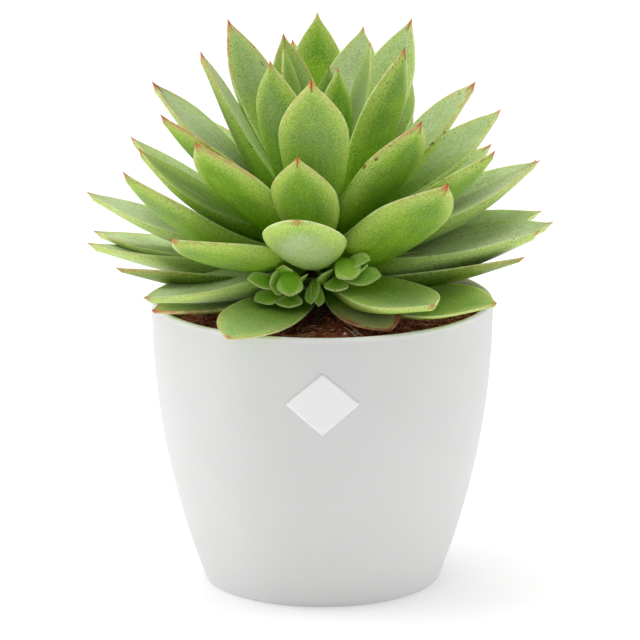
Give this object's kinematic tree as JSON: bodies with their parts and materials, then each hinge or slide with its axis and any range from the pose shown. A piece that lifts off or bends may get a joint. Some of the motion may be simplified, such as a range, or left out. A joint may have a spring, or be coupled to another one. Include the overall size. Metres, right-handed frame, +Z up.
{
  "type": "potted succulent plant",
  "caption": "Potted rosette succulent with thick pointed leaves and a cluster of small offsets, in a plain round white pot with a blank diamond label.",
  "frame": {"origin": "centre of the pot's flat underside, on the pot's axis", "axes": "+Z up along the pot's axis; -Y is the side with the blank label; +X is to the right of someone who looks at the label"},
  "size_m": [0.1911, 0.1771, 0.2282],
  "materials": {
    "pot_plastic": "smooth white satin plastic",
    "soil": "dark loose coconut-fibre potting soil",
    "leaf": "waxy green leaf with a pale bloom and red tips",
    "young_leaf": "fresh green waxy leaf",
    "label_paper": "plain matt paper"
  },
  "bodies": {
    "root": {"pot": "pot_plastic", "soil": "soil", "rosette": "leaf", "offsets": "young_leaf", "label": "label_paper"}
  },
  "joints": []
}
